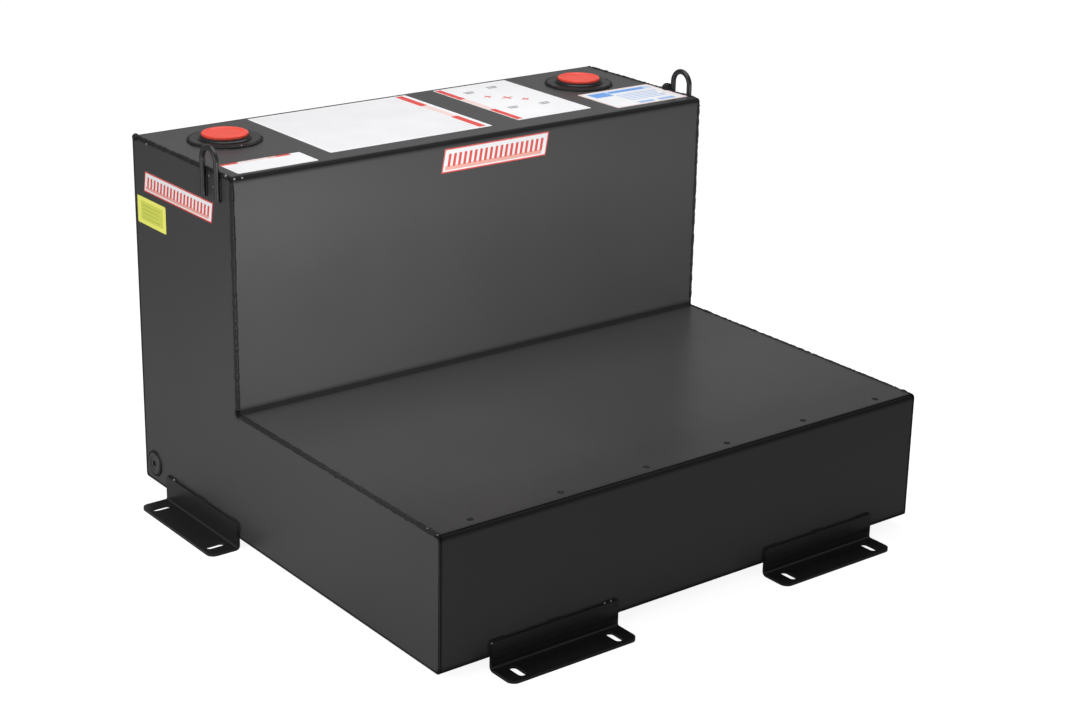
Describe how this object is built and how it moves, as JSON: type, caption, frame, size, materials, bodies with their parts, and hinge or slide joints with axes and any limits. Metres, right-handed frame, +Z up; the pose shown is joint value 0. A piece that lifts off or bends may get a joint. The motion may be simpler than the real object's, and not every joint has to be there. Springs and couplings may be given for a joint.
{
  "type": "truck bed transfer tank",
  "caption": "L-shaped welded steel fuel transfer tank for a truck bed: low front deck, tall rear tower, screwed ports, angle feet and lifting loops.",
  "frame": {"origin": "on the floor, below the middle of the overall box", "axes": "+X across the truck bed towards the pump port, +Y from the deck's front wall to the tower's back wall, +Z up"},
  "size_m": [1.088, 0.954, 0.681],
  "materials": {
    "black_paint": "gloss black powder coat",
    "bare_steel": "unpainted mill sheet",
    "red_plug": "moulded red plastic, semi-gloss",
    "seal_rubber": "matt black rubber",
    "white_label": "printed white vinyl",
    "yellow_label": "printed yellow vinyl"
  },
  "bodies": {
    "tank": {"base_sheet": "black_paint", "cover_sheet": "black_paint", "left_end_panel": "black_paint", "right_end_panel": "black_paint", "left_baffle": "bare_steel", "right_baffle": "bare_steel", "front_left_foot": "black_paint", "front_right_foot": "black_paint", "left_end_foot": "black_paint", "right_end_foot": "black_paint", "left_lifting_loop": "black_paint", "right_lifting_loop": "black_paint", "fill_port_fitting": "black_paint", "pump_port_fitting": "black_paint", "drain_boss": "black_paint", "main_label": "white_label", "diagram_label": "white_label", "fill_label": "white_label", "pump_label": "white_label", "riser_strip": "white_label", "end_strip": "white_label", "yellow_label": "yellow_label"},
    "fill_seal": {"fill_plug_seal": "seal_rubber"},
    "fill_plug": {"fill_port_plug": "red_plug"},
    "pump_seal": {"pump_plug_seal": "seal_rubber"},
    "pump_plug": {"pump_port_plug": "red_plug"},
    "drain_plug": {"drain_plug": "black_paint"}
  },
  "joints": [
    {"name": "fill_plug_lift", "type": "slide", "parent": "tank", "child": "fill_seal", "axis": [0, 0, 1], "range_m": [0, 0.01768]},
    {"name": "fill_plug_turn", "type": "hinge", "parent": "fill_seal", "child": "fill_plug", "pos_m": [-0.376, 0.363, 0.6465], "axis": [0, 0, 1], "range_deg": [0, 2880]},
    {"name": "pump_plug_lift", "type": "slide", "parent": "tank", "child": "pump_seal", "axis": [0, 0, 1], "range_m": [0, 0.01768]},
    {"name": "pump_plug_turn", "type": "hinge", "parent": "pump_seal", "child": "pump_plug", "pos_m": [0.376, 0.363, 0.6465], "axis": [0, 0, 1], "range_deg": [0, 2880]},
    {"name": "drain_plug_out", "type": "slide", "parent": "tank", "child": "drain_plug", "axis": [-1, 0, 0], "range_m": [0, 0.014]}
  ],
  "couplings": [
    {"joint": "fill_plug_lift", "follows": "fill_plug_turn", "m_per_rad": 0.00035152},
    {"joint": "pump_plug_lift", "follows": "pump_plug_turn", "m_per_rad": 0.00035152}
  ]
}
